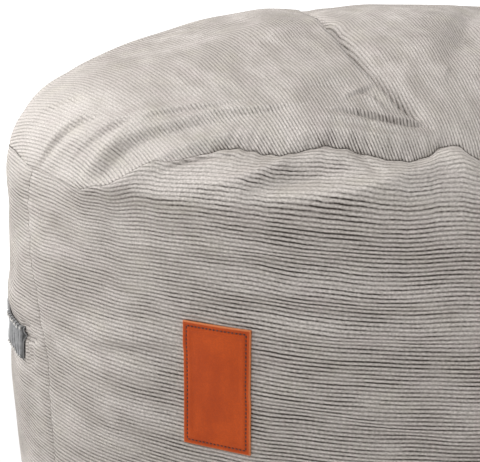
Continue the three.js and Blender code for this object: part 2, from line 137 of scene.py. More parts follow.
# The same for the shoulder and the side.
# Points: azimuth, height above the floor, fold height on the left, on the right where it differs.
SIDE_FOLDS = [
    # pleats that fan over the left shoulder, each lapped over the next
    ((9, 8, 4), [(-61.5, 434, 0), (-59.5, 441, 1, -1.2), (-56.5, 447, 1, -1.2), (-52, 451.5, 0)]),
    ((12, 9, 4), [(-53.4, 402, 0), (-52.2, 413, 1.2, -1.2), (-51, 424, 2, -2), (-49.6, 434, 2.2, -2.2),
        (-47.6, 441, 1.6, -2), (-45, 443.5, 0.8, -1.2), (-41, 443, 0)]),
    ((6, 7, 1.5), [(-50.5, 410, 0.8), (-47.2, 422, 1.8), (-44.2, 435, 2), (-41, 443, 1.6),
        (-37.4, 451, 1.4), (-33.5, 454, 1)]),
    ((9, 7, 4), [(-45.4, 408, 0), (-43.8, 420, 1, -1), (-41.8, 432, 1.3, -1.3),
        (-40.2, 440, 1.4, -1.5), (-38.6, 443.8, 0.9, -1.2), (-35.5, 445, 0)]),
    ((6, 9, 1.5), [(-40.2, 405, 1.5), (-39.2, 413, 2.6), (-38.2, 426, 3), (-37.2, 440, 2.6),
        (-35.2, 450, 2.2), (-32.2, 455.5, 1.6), (-27, 458, 1), (-22, 459, 0)]),
    # the broad facet below the last pleat, and the roll along the seam
    ((13, 11, 7), [(-37.6, 408, 0), (-37, 418, 1.6, -2.4), (-36, 430, 2.4, -3.2),
        (-33.6, 439.5, 2.4, -3.8), (-30, 446, 2.4, -3.4), (-27, 451, 2, -3), (-23.5, 453.5, 1.6, -2),
        (-18.5, 455, 0)]),
    ((6, 8, 2), [(-38.6, 400, 1.5), (-35.4, 404, 3.2), (-32.8, 412, 3.6), (-30.2, 423, 3.2),
        (-27.6, 433, 2.6), (-24.4, 441, 2), (-19, 446, 1)]),
    ((2.2, 3, 1), [(-29, 418, 0), (-27.7, 422.5, 0.3, -1), (-25.6, 427.5, 0.5, -1.8),
        (-23, 432, 0.5, -1.8), (-19, 433.5, 0, -0.4)]),
    # ridges that fan down and to the left from the pinches of the top seam
    ((8, 7, 2), [(-12.4, 436, 1), (-13.8, 431, 3.5), (-15.8, 424, 5), (-18, 419, 5), (-22, 414, 3),
        (-26, 411, 0)]),
    ((11, 8, 2), [(3, 438, 1), (1, 431, 4), (-1.5, 423, 5.5), (-4.5, 416, 6), (-8, 412, 6),
        (-13, 410, 5), (-18, 409, 2)]),
    ((8, 9, 2), [(4.4, 439, 2), (6.4, 431, 5), (9.5, 420, 5), (14, 408, 2)]),
    # hollows between them, and short creases below the seam
    ((6, 7, 2), [(-7, 427, -1), (-11, 422, -2.5), (-16, 416, -1.5)]),
    ((2.6, 3, 1), [(-6.6, 441, -0.4), (-5, 434.5, -1.8), (-3.6, 428, -1.6), (-2.4, 424, -0.3)]),
    ((2.6, 3.4, 1), [(3.4, 441, -0.4), (1.6, 434, -1.5), (-0.4, 428.5, -1.2), (-1.8, 425, -0.2)]),
    # the soft shelf where the wall turns down below the shoulder
    ((26, 11, 3), [(-46, 394, 0), (-39, 398, 3.5), (-30, 400, 5.5), (-21, 400, 5.5), (-13, 402, 5),
        (-6, 405, 5), (0, 411, 4), (6, 412, 3.5), (14, 405, 4.5), (26, 394, 4), (38, 386, 0)]),
    ((14, 16, 5), [(-17, 395, 0), (-22, 399, -1.4, 1.6), (-29, 401, -1.8, 2), (-35, 401, -1.8, 2),
        (-41, 398, -0.6, 0.8)]),
    ((10, 16, 5), [(0, 392, 0), (-6, 396, -2, 1), (-12, 399, -2, 1), (-19, 399, -0.6, 0.4)]),
    # slack bands across the front
    ((14, 14, 4.5), [(4, 384, 0), (-3, 383, -2, 2), (-11, 379, -2.4, 2.4), (-19, 375, -1.8, 1.8),
        (-26, 372, 0)]),
    ((14, 14, 4.5), [(9, 351, 0), (-1, 350, -2, 2), (-9, 349, -2.3, 2.3), (-17, 347.5, -1.8, 1.8),
        (-24, 345, 0)]),
    ((14, 14, 4.5), [(10, 332, 0), (1, 330, -2, 2), (-6, 328, -2.2, 2.2), (-12, 326, -1.2, 1.2),
        (-16, 325, 0)]),
    ((14, 14, 5), [(9, 267, 0), (1, 273, -1.8, 1.8), (-7, 281, -2, 2), (-14, 284, -1.2, 1.2),
        (-19, 284, 0)]),
    ((12, 12, 4), [(-23, 312, 0), (-29, 308, -1.5, 1.5), (-36, 299, -1.5, 1.5), (-42, 292, 0)]),
    ((18, 18, 4), [(-40, 210, -1), (-28, 200, -2), (-14, 206, -1)]),
    # the left side bulges over the handle, is drawn in under it and puckers at its sewn end
    ((9, 11, 3), [(-57, 293, 1), (-66, 291, 3), (-88, 291, 3), (-101, 293, 1)]),
    ((16, 16, 4), [(-57, 267, 0), (-63, 267, -3), (-96, 267, -3), (-102, 267, 0)]),
    ((6, 6, 3), [(-56, 256, -1.5), (-56, 272, -2), (-54, 280, -0.5)]),
    ((3, 2.4, 1), [(-58.8, 281.5, -3), (-57.4, 282, -4), (-55.4, 282.5, -0.6)]),
    ((3, 2.4, 1), [(-58.4, 273, -3), (-56.4, 274.5, -3.8), (-53, 277.5, -0.4)]),
    ((1.6, 1.8, 1), [(-58, 277, -1), (-57.6, 268, -2.6), (-57.1, 259, -1.8), (-56.6, 251, -0.2)]),
    # the right side and the back, gathered the same way
    ((10, 7, 2), [(24, 426, 2), (20, 414, 4), (16, 398, 1.5)]),
    ((12, 12, 2), [(38, 428, -2), (41, 408, -4), (47, 384, -1.5)]),
    ((11, 8, 2), [(58, 424, 2), (54, 408, 4), (50, 386, 1.5)]),
    ((12, 14, 2), [(72, 408, -2), (76, 390, -4), (84, 370, -1.5)]),
    ((7, 12, 2), [(96, 412, 2), (101, 396, 4.5), (108, 374, 1.5)]),
    ((12, 12, 2), [(112, 404, -2), (116, 386, -3), (113, 362, -1.5)]),
    ((7, 12, 2), [(134, 408, 2), (139, 392, 4.5), (148, 372, 1.5)]),
    ((12, 14, 2), [(150, 422, -2), (155, 402, -3.5), (160, 376, -1.5)]),
    ((11, 7, 2), [(172, 424, 2), (168, 408, 4.5), (163, 384, 1.5)]),
    ((12, 13, 2), [(192, 420, -2), (197, 400, -3.5), (205, 378, -1.5)]),
    ((11, 7, 2), [(214, 424, 2), (210, 406, 4.5), (204, 382, 1.5)]),
    ((12, 13, 2), [(232, 414, -2), (236, 398, -3.5), (242, 372, -1.5)]),
    ((7, 12, 2), [(256, 404, 2), (259, 388, 4), (266, 362, 1.5)]),
    ((12, 14, 2), [(276, 398, -2), (281, 380, -3), (288, 358, -1.5)]),
    ((16, 16, 5), [(40, 352, 0), (60, 346, 1.4, -1.4), (84, 350, 1.4, -1.4), (100, 344, 0)]),
    ((16, 16, 5), [(120, 330, 0), (142, 324, 1.4, -1.4), (170, 330, 1.4, -1.4), (190, 322, 0)]),
    ((16, 16, 5), [(206, 352, 0), (228, 344, 1.4, -1.4), (252, 350, 1.2, -1.2), (270, 340, 0)]),
    ((20, 22, 4), [(60, 250, -1), (84, 238, -3), (104, 246, -1)]),
    ((22, 20, 4), [(150, 270, -1), (176, 258, -3), (204, 266, -1)]),
    ((20, 18, 4), [(196, 190, -1), (224, 176, -3), (250, 184, -1)]),
]

FOLD_POWER = 1.7  # 2 is a bell, less is a sharper crest
FOLD_REACH = 3.0  # times its wider side: a fold adds nothing beyond

# Lobes round the axis: how many, size, azimuth of the first. The side in the photo has none.
OUT_OF_ROUND = [(2, 4, 128), (5, 2.2, 96), (3, 2.6, 205)]
ROUND_MIDDLE = -36.0
ROUND_SPREAD = (48.0, 88.0)  # degrees from there: round within the first, full lobes beyond the second
ROUND_POWER = 0.7  # less makes the lobes full nearer to the floor and the crown


def rad(degrees):
    return np.radians(degrees)


def smooth(x, low, high):
    t = np.clip((x - low) / (high - low), 0.0, 1.0)
    return t * t * (3.0 - 2.0 * t)


def turn_between(azimuth, other):
    return (azimuth - other + 180.0) % 360.0 - 180.0


def unit(vectors):
    return vectors / np.linalg.norm(vectors, axis=-1, keepdims=True)


# ---- the outline ----


def wall_radius(height):
    swing = np.cos(math.pi * (height - FULLEST_HEIGHT) / WALL_SWING)
    return FULL_RADIUS - WALL_DRAW / 2 * (1 - swing)


def make_outline(steps=400):
    """Radius, height and distance of the outline's points, from the crown to the base."""
    turn = np.linspace(0, math.pi / 2, steps, endpoint=False)
    dome_r = wall_radius(SHOULDER_HEIGHT) * np.sin(turn)
    dome_z = SHOULDER_HEIGHT + (CROWN_HEIGHT - SHOULDER_HEIGHT) * np.cos(turn) ** (2 / DOME_POWER)
    wall_z = np.linspace(SHOULDER_HEIGHT, FOOT_HEIGHT, steps, endpoint=False)
    turn = np.linspace(0, math.pi / 2, steps + 1)
    reach = np.clip(np.cos(turn), 0, 1) ** (2 / FOOT_POWER)
    foot_r = BASE_RADIUS + (wall_radius(FOOT_HEIGHT) - BASE_RADIUS) * reach
    foot_z = FOOT_HEIGHT * (1 - np.sin(turn) ** (2 / FOOT_POWER))
    r = np.concatenate([dome_r, wall_radius(wall_z), foot_r, [0.0]])
    z = np.concatenate([dome_z, wall_z, foot_z, [0.0]])
    along = np.concatenate([[0.0], np.cumsum(np.hypot(np.diff(r), np.diff(z)))])
    return r, z, along


OUT_R, OUT_Z, OUT_S = make_outline()
BASE_EDGE = OUT_S[-2]
OUT_END = OUT_S[-1]
SLOPE_STEP = 1.0  # the outline's direction is taken over this distance on either side


def outline_at(distance):
    """Radius, height and the outward direction at distances along the outline."""
    ahead, behind = (np.clip(distance + step, 0, OUT_END) for step in (SLOPE_STEP, -SLOPE_STEP))
    dr, dz = (np.interp(ahead, OUT_S, part) - np.interp(behind, OUT_S, part) for part in (OUT_R, OUT_Z))
    length = np.hypot(dr, dz)
    r, z = (np.interp(distance, OUT_S, part) for part in (OUT_R, OUT_Z))
    return r, z, -dz / length, dr / length


def distance_at_height(height):
    falling = slice(0, len(OUT_Z) - 1)
    return np.interp(-height, -OUT_Z[falling], OUT_S[falling])


# ---- seams ----


def eased(rows, column, at):
    """Eased steps down one column of a table, whose first column is the place."""
    places, values = np.array(rows, float).T[[0, column]]
    at = np.clip(at, places[0], places[-1])
    i = np.clip(np.searchsorted(places, at, side="right") - 1, 0, len(places) - 2)
    t = (at - places[i]) / (places[i + 1] - places[i])
    return values[i] + (values[i + 1] - values[i]) * t * t * (3 - 2 * t)


TOP_SEAM_ROUND = TOP_SEAM + [(TOP_SEAM[0][0] + 360, *TOP_SEAM[0][1:])]


def top_seam(azimuth):
    start = TOP_SEAM[0][0]
    at = start + (azimuth - start) % 360.0
    return distance_at_height(eased(TOP_SEAM_ROUND, 1, at)), eased(TOP_SEAM_ROUND, 2, at)


def foot_seam(azimuth):
    wave = sum(size * np.sin(rad(count * azimuth + start)) for count, size, start in FOOT_SEAM_WAVES)
    return distance_at_height(FOOT_SEAM_HEIGHT + FOOT_SEAM_WAVE * wave)


def off_upright_seams(azimuth, distance):
    """How far points are round the bag from its left and from its right upright seam."""
    r, z, _, _ = outline_at(distance)
    left_seam = eased(SIDE_SEAM, 1, z)
    return [rad(turn_between(azimuth, left_seam + turn)) * r for turn in (0.0, SIDE_SEAM_TURN)]


def groove(offset, depth, half_width):
    return -depth * np.exp(-((offset / half_width) ** 2))


# ---- folds ----


def on_bag(azimuth, distance):
    """The plain bag's points and outward directions, before any fold."""
    r, z, out_r, out_z = outline_at(distance)
    a = rad(azimuth)
    point = np.stack([r * np.sin(a), -r * np.cos(a), z], -1)
    normal = np.stack([out_r * np.sin(a), -out_r * np.cos(a), out_z], -1)
    return point, normal


def crown_place(x, y):
    crown = OUT_Z >= SHOULDER_HEIGHT
    return np.degrees(np.arctan2(x, -y)), np.interp(np.hypot(x, y), OUT_R[crown], OUT_S[crown])


def side_place(azimuth, height):
    return azimuth, distance_at_height(height)


def fold(place_of, widths, points):
    """A fold's line on the bag, its heights on the left and on the right, and its widths."""
    a, b, left, right = np.array([(*point, point[-1])[:4] for point in points], float).T
    return on_bag(*place_of(a, b))[0], left, right, widths


def fold_height(point, normal, line, left, right, widths):
    """What one fold adds at points of the bag: its heights at the nearest place of its line."""
    reach = FOLD_REACH * max(widths[:2])
    near = np.all((point > line.min(0) - reach) & (point < line.max(0) + reach), axis=-1)
    total = np.zeros(point.shape[:-1])
    if not near.any():
        return total
    p, n = point[near], normal[near]
    nearest = np.full(len(p), np.inf)
    side, high, low = np.zeros((3, len(p)))
    for i in range(len(line) - 1):
        step = line[i + 1] - line[i]
        offset = p - line[i]
        share = np.clip(offset @ step / (step @ step), 0, 1)
        offset = offset - share[:, None] * step
        distance = np.linalg.norm(offset, axis=1)
        closer = distance < nearest
        nearest = np.where(closer, distance, nearest)
        side = np.where(closer, np.sign(np.einsum("ij,ij->i", np.cross(step, offset), n)), side)
        high = np.where(closer, left[i] + (left[i + 1] - left[i]) * share, high)
        low = np.where(closer, right[i] + (right[i + 1] - right[i]) * share, low)
    leftness = smooth(side * nearest, -widths[2], widths[2])
    fall_left = np.exp(-((nearest / widths[0]) ** FOLD_POWER))
    fall_right = np.exp(-((nearest / widths[1]) ** FOLD_POWER))
    total[near] = leftness * high * fall_left + (1 - leftness) * low * fall_right
    return total


FOLDS = [fold(crown_place, *row) for row in CROWN_FOLDS] + [fold(side_place, *row) for row in SIDE_FOLDS]


def out_of_round(azimuth):
    lobes = sum(size * np.cos(rad(n * (azimuth - first))) for n, size, first in OUT_OF_ROUND)
    return lobes * smooth(np.abs(turn_between(azimuth, ROUND_MIDDLE)), *ROUND_SPREAD)


def bag_point(azimuth, distance):
    """Points of the folded skin, in millimetres."""
    shape = azimuth.shape
    azimuth, distance = azimuth.ravel(), distance.ravel()
    point, normal = on_bag(azimuth, distance)
    seam, depth = top_seam(azimuth)
    rise = groove(distance - seam, depth, SEAM_HALF_WIDTH)
    rise += groove(distance - foot_seam(azimuth), FOOT_SEAM_DEPTH, SEAM_HALF_WIDTH)
    for offset in off_upright_seams(azimuth, distance):
        rise += (distance > seam) * groove(offset, SIDE_SEAM_DEPTH, SIDE_SEAM_HALF_WIDTH)
    for one in FOLDS:
        rise += fold_height(point, normal, *one)
    rise *= smooth(BASE_EDGE - distance, 0, FOOT_FADE)
    level = np.clip(outline_at(distance)[1] / CROWN_HEIGHT, 0, 1)
    swell = (distance < BASE_EDGE) * out_of_round(azimuth) * np.sin(level * math.pi) ** ROUND_POWER
    point[:, 0] += swell * np.sin(rad(azimuth))
    point[:, 1] -= swell * np.cos(rad(azimuth))
    point += normal * rise[:, None]
    return point.reshape(*shape, 3)


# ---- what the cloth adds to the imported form: small lumps of the filling and gathers at the seams ----

LUMPS = [(120.0, 0.8, 11), (48.0, 0.35, 12)]  # length, height, seed
RIPPLE_WAVES = 7
RIPPLE_SIZE = 1.9  # of that many waves together
GATHERS = dict(height=0.42, reach=13.0)  # of the top seam
SIDE_GATHERS = dict(height=0.3, reach=9.0, length=12.0)
SIDE_SEEDS = (20, 21)
FLAT_GATHERS = 0.25  # share of the gathers that is left where the top seam lies flat
GATHER_START = 2.5  # the gathers of the top seam start this far off it
PULLED = (1.5, 3.0)  # depths of the top seam's groove where it begins to be pulled open, and is fully
SCALLOP = 0.5  # height of the scallops between the stitches of the top seam


def soft_noise(point, scale, seed, waves=14):
    """Smooth noise of unit size: a fixed sum of plane waves about one scale long."""
    draw = np.random.default_rng(seed)
    way = unit(draw.normal(size=(waves, 3)))
    way *= 2 * math.pi / (scale * draw.uniform(0.7, 1.5, (waves, 1)))
    phase = draw.uniform(0, 2 * math.pi, waves)
    total = np.zeros(point.shape[:-1])
    for w, p in zip(way, phase):
        total += np.cos(point @ w + p)
    return total / math.sqrt(waves / 2)


def ripple(along, length, seed):
    """Uneven ripples along a line, of unit size."""
    draw = np.random.default_rng(seed)
    total = 0.0
    for _ in range(RIPPLE_WAVES):
        wave = length * draw.uniform(0.6, 1.8)
        total = total + np.cos(2 * math.pi * along / wave + draw.uniform(0, 6.3))
    return total / RIPPLE_SIZE


def gathers(off, along, height, reach, length, seed):
    """Gathers beside a seam: ripples along it that fade off it."""
    return height * np.exp(-np.abs(off) / reach) * ripple(along, length, seed)


def crisp_groove(off, sharp, reach, soft, half_width):
    """A groove with a sharp floor in a soft hollow."""
    return groove(off, soft, half_width) - sharp * np.exp(-np.abs(off) / reach)


def seam_line(azimuth):
    """The top seam with the small scallops between its stitches: place, depth, how far pulled open."""
    distance, depth = top_seam(azimuth)
    along = rad(azimuth) * FULL_RADIUS
    pulled = smooth(depth, *PULLED)
    return distance + SCALLOP * pulled * ripple(along, length=11.0, seed=5), depth, pulled


def cloth_point(azimuth, distance, stand_off=0.0):
    """Points of the dressed bag: the folded skin with its crisp seams, gathers and soft lumps."""
    azimuth, distance = np.broadcast_arrays(np.asarray(azimuth, float), np.asarray(distance, float))
    point = bag_point(azimuth, distance)
    _, normal = on_bag(azimuth, distance)
    along = rad(azimuth) * FULL_RADIUS
    rise = sum(height * soft_noise(point, length, seed) for length, height, seed in LUMPS)
    seam, depth, pulled = seam_line(azimuth)
    off = distance - seam
    # the soft groove of the solid gives way to a crisp one
    rise -= groove(off, depth, SEAM_HALF_WIDTH)
    rise += pulled * crisp_groove(off, sharp=2.4, reach=3.2, soft=1.2, half_width=9.0)
    crown_side = gathers(off, along, length=13.0, seed=6, **GATHERS)
    wall_side = gathers(off, along, length=12.0, seed=7, **GATHERS)
    gathered = np.where(off < 0, crown_side, wall_side) * (FLAT_GATHERS + (1 - FLAT_GATHERS) * pulled)
    rise += gathered * (1 - np.exp(-np.abs(off) / GATHER_START))
    rise += gathers(distance - foot_seam(azimuth), along, height=0.5, reach=12.0, length=13.0, seed=8)
    below = distance > seam
    for offset, seed in zip(off_upright_seams(azimuth, distance), SIDE_SEEDS):
        rise -= below * groove(offset, SIDE_SEAM_DEPTH, SIDE_SEAM_HALF_WIDTH)
        rise += below * crisp_groove(offset, sharp=0.4, reach=1.6, soft=0.6, half_width=7.0)
        rise += below * gathers(offset, distance, seed=seed, **SIDE_GATHERS)
    rise *= smooth(BASE_EDGE - distance, 0, FOOT_FADE)
    return point + normal * (rise + stand_off)[..., None]


# ---- meshes ----


def add_object(name, data, place=(0, 0, 0), rotation=(0, 0, 0)):
    item = bpy.data.objects.new(name, data)
    item.location = place
    item.rotation_euler = rotation
    bpy.context.scene.collection.objects.link(item)
    return item


def make_piece(name, points, faces, material, attributes=None):
    """A smooth mesh object from points in millimetres."""
    mesh = bpy.data.meshes.new(name)
    mesh.from_pydata((np.asarray(points) * MM).tolist(), [], faces)
    for key, values in (attributes or {}).items():
        layer = mesh.attributes.new(key, "FLOAT_VECTOR", "POINT")
        layer.data.foreach_set("vector", (np.asarray(values) * MM).astype(np.float32).ravel())
    mesh.materials.append(material)
    mesh.polygons.foreach_set("use_smooth", [True] * len(mesh.polygons))
    mesh.update()
    return add_object(name, mesh)


def grid_faces(rows, columns, closed=False, first=0):
    """Quads of a grid of points, stored row by row."""
    last = columns if closed else columns - 1
    row, column = np.meshgrid(np.arange(rows - 1), np.arange(last), indexing="ij")
    a = first + row * columns + column
    b = first + row * columns + (column + 1) % columns
    return np.stack([a, a + columns, b + columns, b], -1).reshape(-1, 4).tolist()


def joining_faces(inner, outer, n):
    """Triangles between a ring of n points and the next ring, of 2n."""
    faces = []
    for i in range(n):
        a, b = inner + i, inner + (i + 1) % n
        c, d, e = outer + 2 * i, outer + 2 * i + 1, outer + (2 * i + 2) % (2 * n)
        faces += [(a, c, d), (a, d, b), (b, d, e)]
    return faces


def spaced(stops):
    """Places from the first stop to the last, with so many steps up to each stop."""
    spans = [np.linspace(a, b, steps + 1)[1:] for (a, _), (b, steps) in zip(stops, stops[1:])]
    return np.concatenate([[stops[0][0]], *spans])


# ---- the panels of the cover ----

CROWN_COLUMNS = 912  # at the seam; halved twice towards the middle
# Rows, each stop with the number of steps up to it: of the crown in three bands, as shares of the
# way out to the top seam, and of the walls, as shares of the way down from it to the foot seam.
CROWN_BANDS = [
    [(0.02, 0), (0.20, 8)],
    [(0.20, 0), (0.45, 39)],
    [(0.45, 0), (0.76, 29), (0.97, 41), (1.0, 10)],
]
WALL_ROWS = [(0.0, 0), (0.075, 25), (0.30, 49), (0.96, 87), (1.0, 8)]
WALL_COLUMNS = 560
END_CROWDING = 0.5  # a wall's columns stand closer at its upright seams
WALL_STARTS = -52.0  # about where the left upright seam is
BASE_COLUMNS = 512
BASE_RIM_ROWS = [(0.0, 0), (1.0, 23)]  # from the foot seam to the edge of the flat
BASE_FLAT_ROWS = [(0.0, 0), (0.96, 25)]  # from there towards the middle, which a fan closes
BASE_MIDDLE = OUT_END - 0.001
BASE_CLOTH = 700  # where the base is cut from the cloth
SEAM_TURN_IN = np.array([0.8, 2.0, 4.5])  # how deep the seam allowance goes into the bag
SEAM_GAP = 0.22  # the cloth edges stand this far from the seam's middle, where it is pulled open
CLOSED_GAP = 0.02  # and where the seam lies flat
FRONT_MIDDLE = -15.0
FRONT_CROWDING = 0.45  # the crown's columns stand closer in the folded front

WALE_TURN = -67.0  # direction of the crown's wales in plan, degrees from +X
# How the wales wander: length and size of each noise.
CROWN_WARP = [(150.0, 1.2), (50.0, 0.35)]
CROWN_WARP_SEED = 31
WALL_WARP = [(150.0, 0.9), (45.0, 0.25)]
FAN_FOCUS = (150.0, -760.0)  # where the wales of the front would meet, in plan
FAN_MIDDLE = (-120.0, -130.0)
FAN_REACH = 695.0  # how far from the focus the fan has the cloth's own pitch
FAN_FADE = (60.0, -140.0)  # the fan is gone behind the first y and full in front of the second
LEVEL_SHIFTS = range(-12, 13, 4)  # the top seam's own level is its mean over these turns
SEAM_FOLLOWED = 0.7  # the wall's wales follow the seam's rise and fall by this share
FOLLOWED_REACH = 28.0  # and less below it
# How dark the painted shade in the valleys between the wales is, and how deep they are: weak where the cloth
# faces up, strong on the sides.
CROWN_VALLEY_SHADE = 0.26
WALL_VALLEY_SHADE = 0.95
VALLEY_SHADE_FACING = (0.99, 0.1)  # how far up the cloth faces: the painted valley shade is weakest at the first, full at the second
# The painted valley shade is weaker on the left side, which the light reaches more fully.
LIT_LEFT_MIDDLE = -75.0
LIT_LEFT_SPREAD = (65, 25)  # degrees from the middle: none beyond the first, full within the second
LIT_LEFT_VALLEY_SHADE = 0.54  # how strong the painted valley shade stays on the left side, which the light reaches more fully
LIT_LEFT_CROWN = (200.0, 320.0)  # the crown joins in from the first of these distances to the second
HIGHLIGHT_FROM = (0.0, 0.35)  # how far up the cloth faces where the painted highlight begins
HIGHLIGHT_TO = (0.96, 0.75)  # and where it is no longer


def paint_light_by_facing(piece):
    """Paint light and shade by how far the cloth faces up: the painted shade and the relief of its valleys
    are weaker where it faces up, and a painted highlight lies on the shoulder and wherever the side turns up
    to it."""
    mesh = piece.data
    normals, cloth = np.zeros((2, len(mesh.vertices), 3))
    mesh.vertices.foreach_get("normal", normals.ravel())
    mesh.attributes["cloth"].data.foreach_get("vector", cloth.ravel())
    facing_up = normals[:, 2]
    valley_shade = CROWN_VALLEY_SHADE + (WALL_VALLEY_SHADE - CROWN_VALLEY_SHADE) * smooth(facing_up, *VALLEY_SHADE_FACING)
    cloth[:, 2] *= valley_shade / MM
    mesh.attributes["cloth"].data.foreach_set("vector", cloth.ravel())
    painted_highlight = smooth(facing_up, *HIGHLIGHT_FROM) * smooth(facing_up, *HIGHLIGHT_TO)
    layer = mesh.attributes.new("painted_highlight", "FLOAT_VECTOR", "POINT")
    layer.data.foreach_set("vector", np.repeat(painted_highlight, 3).astype(np.float32))


def seam_gap(pulled):
    return CLOSED_GAP + (SEAM_GAP - CLOSED_GAP) * pulled


def valley_shade_share(azimuth, share=1.0):
    """How strong the painted shade and the relief of the valleys are before they are scaled by facing:
    weaker on the left side, which the light reaches more fully.
    """
    lit_left = smooth(np.abs(turn_between(azimuth, LIT_LEFT_MIDDLE)), *LIT_LEFT_SPREAD)
    return 1 - (1 - LIT_LEFT_VALLEY_SHADE) * lit_left * share


def warp(point, noises, seed):
    """How far the wales wander from where they would lie on straight cloth."""
    return sum(size * soft_noise(point, length, seed + k) for k, (length, size) in enumerate(noises))


def crown_azimuths(columns):
    turn = np.arange(columns) * 360.0 / columns - 180.0
    return turn + FRONT_MIDDLE - np.degrees(FRONT_CROWDING * np.sin(rad(turn)))


def crown_cloth(azimuth, distance):
    """Where a point of the crown lies on the flat cloth, and how strong the painted shade in its valleys is.

    The wales run straight over the crown, but towards the front they draw together like a fan,
    where the cloth is gathered into the tuck.
    """
    a = rad(azimuth)
    x, y = distance * np.sin(a), -distance * np.cos(a)
    turn = rad(WALE_TURN)
    along = x * np.cos(turn) + y * np.sin(turn)
    across = -x * np.sin(turn) + y * np.cos(turn)
    middle_turn = math.atan2(FAN_MIDDLE[0] - FAN_FOCUS[0], FAN_MIDDLE[1] - FAN_FOCUS[1])
    fan = (np.arctan2(x - FAN_FOCUS[0], y - FAN_FOCUS[1]) - middle_turn) * FAN_REACH
    middle = -FAN_MIDDLE[0] * np.sin(turn) + FAN_MIDDLE[1] * np.cos(turn)
    across = across + (middle + fan - across) * smooth(y, *FAN_FADE)
    across = across + warp(np.stack([x, y, 0 * a], -1), CROWN_WARP, CROWN_WARP_SEED)
    return np.stack([along, across, valley_shade_share(azimuth, smooth(distance, *LIT_LEFT_CROWN))], -1)


def crown_panel(material):
    points, cloth, faces = [cloth_point([0.0], [0.0])], [np.zeros((1, 3))], []
    columns = CROWN_COLUMNS // 4
    count, previous = 1, 0
    for stops in CROWN_BANDS:
        azimuth = crown_azimuths(columns)
        seam, _, pulled = seam_line(azimuth)
        seam = seam - seam_gap(pulled)
        # a band's first row is the last one of the band inside it, with twice the columns
        distance = spaced(stops)[min(previous, 1):, None] * seam
        depth = np.zeros(distance.shape)
        if columns == CROWN_COLUMNS:
            distance = np.concatenate([distance, np.repeat(seam[None], len(SEAM_TURN_IN), 0)])
            depth = np.concatenate([depth, np.repeat(SEAM_TURN_IN[:, None], columns, 1)])
        azimuth = np.broadcast_to(azimuth, distance.shape)
        points.append(cloth_point(azimuth, distance, -depth).reshape(-1, 3))
        cloth.append(crown_cloth(azimuth, distance + depth).reshape(-1, 3))
        if previous:
            faces += joining_faces(previous, count, columns // 2)
        else:
            faces += [(0, count + i, count + (i + 1) % columns) for i in range(columns)]
        faces += grid_faces(len(distance), columns, closed=True, first=count)
        count += distance.size
        previous = count - columns
        columns *= 2
    attributes = {"cloth": np.concatenate(cloth)}
    return make_piece("crown_panel", np.concatenate(points), faces, material, attributes)


def wall_panel(name, first_turn, turn, seed, material):
    """A wall between the upright seams; the first turn is from the left seam to where it starts."""
    shares = spaced(WALL_ROWS)[:, None]
    column = np.linspace(0, 1, WALL_COLUMNS)[None]
    column = column - END_CROWDING * np.sin(2 * math.pi * column) / (2 * math.pi)
    azimuth = WALL_STARTS + first_turn + turn * column + 0 * shares
    # rows and columns depend on each other and settle in a few rounds
    for _ in range(4):
        seam, _, pulled = seam_line(azimuth)
        top, bottom = seam + seam_gap(pulled), foot_seam(azimuth) - SEAM_GAP
        distance = top + (bottom - top) * shares
        left = eased(SIDE_SEAM, 1, outline_at(distance)[1]) + first_turn
        azimuth = left + turn * column
    gap = np.degrees(CLOSED_GAP / FULL_RADIUS)
    azimuth = azimuth + gap * (1 - 2 * column)
    # seam allowances, turned into the bag on all four edges
    allowance = len(SEAM_TURN_IN)
    azimuth = np.pad(azimuth, allowance, "edge")
    distance = np.pad(distance, allowance, "edge")
    row_depth, column_depth = (
        np.concatenate([SEAM_TURN_IN[::-1], np.zeros(n), SEAM_TURN_IN]) for n in (len(shares), WALL_COLUMNS))
    depth = np.maximum(row_depth[:, None], column_depth[None])
    points = cloth_point(azimuth, distance, -depth)
    # the wales run level, but follow the seam's own rise and fall beside it
    seam = seam_line(azimuth)[0]
    level = np.mean([seam_line(azimuth + shift)[0] for shift in LEVEL_SHIFTS], axis=0)
    follow = SEAM_FOLLOWED * np.exp(-np.clip(distance - seam, 0, None) / FOLLOWED_REACH)
    across = distance - follow * (seam - level) + warp(points, WALL_WARP, seed) + seed
    cloth = np.stack([rad(azimuth) * FULL_RADIUS, across, valley_shade_share(azimuth)], -1)
    return make_piece(name, points.reshape(-1, 3), grid_faces(*distance.shape), material,
                      {"cloth": cloth.reshape(-1, 3)})


def base_panel(material):
    azimuth = np.arange(BASE_COLUMNS) * 360.0 / BASE_COLUMNS
    foot = foot_seam(azimuth) + SEAM_GAP
    rim = foot + (BASE_EDGE - foot) * spaced(BASE_RIM_ROWS)[:, None]
    flat = BASE_EDGE + (OUT_END - BASE_EDGE) * spaced(BASE_FLAT_ROWS)[1:, None] + 0 * foot
    inside = SEAM_TURN_IN[::-1, None] + 0 * foot
    distance = np.concatenate([foot + 0 * inside, rim, flat])
    depth = np.concatenate([inside, np.zeros(rim.shape), np.zeros(flat.shape)])
    azimuth = np.broadcast_to(azimuth, distance.shape)
    points = cloth_point(azimuth, distance, -depth)
    middle = cloth_point([0.0], [BASE_MIDDLE])
    out = OUT_END - distance
    a = rad(azimuth)
    cloth = np.stack([out * np.sin(a), out * np.cos(a) + BASE_CLOTH, 1 + 0 * a], -1).reshape(-1, 3)
    rows, columns = distance.shape
    faces = grid_faces(rows, columns, closed=True)
    last = rows * columns - columns
    faces += [(last + (i + 1) % columns, last + i, rows * columns) for i in range(columns)]
    return make_piece("base_panel", np.concatenate([points.reshape(-1, 3), middle]), faces, material,
                      {"cloth": np.concatenate([cloth, [[0, BASE_CLOTH, 1]]])})


# ---- stitches ----

LEVEL = np.array([1, 1, 0])  # keeps the level part of a direction
THREAD_FLAT = 0.8  # height of a thread over its width


